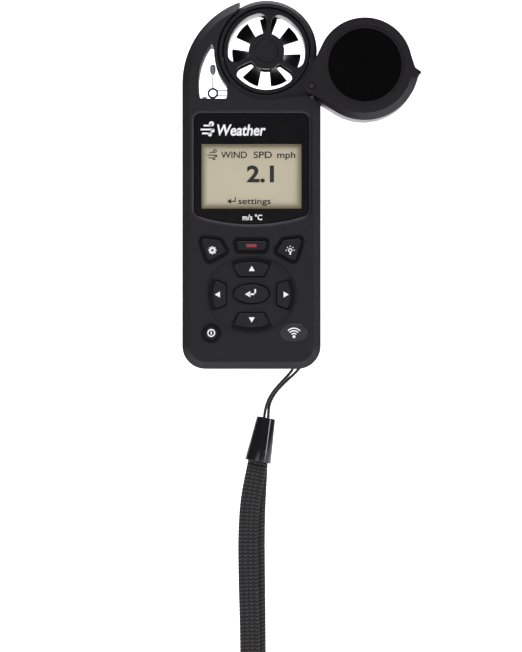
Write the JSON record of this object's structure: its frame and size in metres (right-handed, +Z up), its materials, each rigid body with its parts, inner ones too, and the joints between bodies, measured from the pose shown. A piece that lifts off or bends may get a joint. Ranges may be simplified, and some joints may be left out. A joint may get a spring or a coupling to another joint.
{
  "type": "handheld weather meter",
  "caption": "Pocket weather meter with an impeller in a ring, a flip cover, a display over a keypad, and a wrist strap.",
  "frame": {"origin": "where the palm holds the meter: 42 mm above its bottom end, at mid width and mid depth of the case", "axes": "+Z up towards the impeller, -Y the front with the display, +X to the right as seen from the front"},
  "size_m": [0.083, 0.0334, 0.3089],
  "materials": {
    "case": "fine-grained charcoal black",
    "cover": "fine-grained warm black",
    "cover_disc": "smooth black",
    "key_rubber": "matt black keys with white marks",
    "red_bar": "dark red",
    "badge": "black badge with white marks",
    "lens": "clear lens with a black printed border",
    "lcd": "reflective grey-green liquid crystal",
    "backlight": "milky white",
    "inner_plastic": "moulded black",
    "seal_rubber": "soft black",
    "circuit_board": "green lacquer",
    "chip": "black package",
    "steel": "bright",
    "battery": "plain wrapped cell",
    "housing": "satin black",
    "impeller": "satin black",
    "jewel": "synthetic sapphire",
    "sensor_white": "white filter cap",
    "bead": "grey resin",
    "lead": "blue lacquered wire",
    "cord": "black braided cord",
    "webbing": "black herringbone webbing",
    "bell": "glossy black"
  },
  "bodies": {
    "case": {"backlight": "backlight", "badge": "badge", "battery": "battery", "battery_contact": "steel", "battery_spring": "steel", "battery_tray": "inner_plastic", "bell": "bell", "case_screws": "steel", "case_seal": "seal_rubber", "cover_pivot_pin": "steel", "display_lens": "lens", "door_seal": "seal_rubber", "front_case": "case", "hub_caps": "housing", "humidity_sensor": "sensor_white", "impeller_housing": "housing", "jewel_bearings": "jewel", "key_domes": "steel", "keypad_mat": "seal_rubber", "lanyard_bar": "steel", "lanyard_loop": "cord", "lcd_carrier": "inner_plastic", "lcd_connector": "seal_rubber", "lcd_glass": "lcd", "main_board": "circuit_board", "pressure_sensor": "steel", "processor": "chip", "radio_module": "chip", "rear_case": "case", "rear_spokes": "housing", "rotation_sensor": "chip", "sensor_grommet": "seal_rubber", "sensor_lead": "lead", "strap": "webbing", "temperature_bead": "bead"},
    "impeller": {"impeller": "impeller", "impeller_axle": "steel"},
    "cover": {"cover_shell": "cover", "cover_front_disc": "cover_disc", "cover_rear_disc": "cover_disc"},
    "door": {"battery_door": "case"},
    "door_screw": {"door_screw": "steel"},
    "key_settings": {"key_settings": "key_rubber"},
    "key_light": {"key_light": "key_rubber"},
    "key_record": {"key_record": "key_rubber", "record_bar": "red_bar"},
    "key_up": {"key_up": "key_rubber"},
    "key_down": {"key_down": "key_rubber"},
    "key_left": {"key_left": "key_rubber"},
    "key_right": {"key_right": "key_rubber"},
    "key_enter": {"key_enter": "key_rubber"},
    "key_power": {"key_power": "key_rubber"}
  },
  "joints": [
    {"name": "impeller_spin", "type": "hinge", "parent": "case", "child": "impeller", "pos_m": [0.0052, 0, 0.0682], "axis": [0, -1, 0], "continuous": true},
    {"name": "cover_swing", "type": "hinge", "parent": "case", "child": "cover", "pos_m": [0.0208, 0, 0.056], "axis": [0, -1, 0], "range_deg": [0, 121]},
    {"name": "door_lift", "type": "slide", "parent": "case", "child": "door", "axis": [0, 1, 0], "range_m": [0, 0.008]},
    {"name": "door_screw_turn", "type": "hinge", "parent": "door", "child": "door_screw", "pos_m": [0, 0.012, 0.0268], "axis": [0, -1, 0], "continuous": true},
    {"name": "key_settings_press", "type": "slide", "parent": "case", "child": "key_settings", "axis": [0, 1, 0], "range_m": [0, 0.0006], "stiffness_N_per_m": 2500, "springref_m": -0.0001},
    {"name": "key_light_press", "type": "slide", "parent": "case", "child": "key_light", "axis": [0, 1, 0], "range_m": [0, 0.0006], "stiffness_N_per_m": 2500, "springref_m": -0.0001},
    {"name": "key_record_press", "type": "slide", "parent": "case", "child": "key_record", "axis": [0, 1, 0], "range_m": [0, 0.0006], "stiffness_N_per_m": 2500, "springref_m": -0.0001},
    {"name": "key_up_press", "type": "slide", "parent": "case", "child": "key_up", "axis": [0, 1, 0], "range_m": [0, 0.0006], "stiffness_N_per_m": 2500, "springref_m": -0.0001},
    {"name": "key_down_press", "type": "slide", "parent": "case", "child": "key_down", "axis": [0, 1, 0], "range_m": [0, 0.0006], "stiffness_N_per_m": 2500, "springref_m": -0.0001},
    {"name": "key_left_press", "type": "slide", "parent": "case", "child": "key_left", "axis": [0, 1, 0], "range_m": [0, 0.0006], "stiffness_N_per_m": 2500, "springref_m": -0.0001},
    {"name": "key_right_press", "type": "slide", "parent": "case", "child": "key_right", "axis": [0, 1, 0], "range_m": [0, 0.0006], "stiffness_N_per_m": 2500, "springref_m": -0.0001},
    {"name": "key_enter_press", "type": "slide", "parent": "case", "child": "key_enter", "axis": [0, 1, 0], "range_m": [0, 0.0006], "stiffness_N_per_m": 2500, "springref_m": -0.0001},
    {"name": "key_power_press", "type": "slide", "parent": "case", "child": "key_power", "axis": [0, 1, 0], "range_m": [0, 0.0006], "stiffness_N_per_m": 2500, "springref_m": -0.0001}
  ]
}
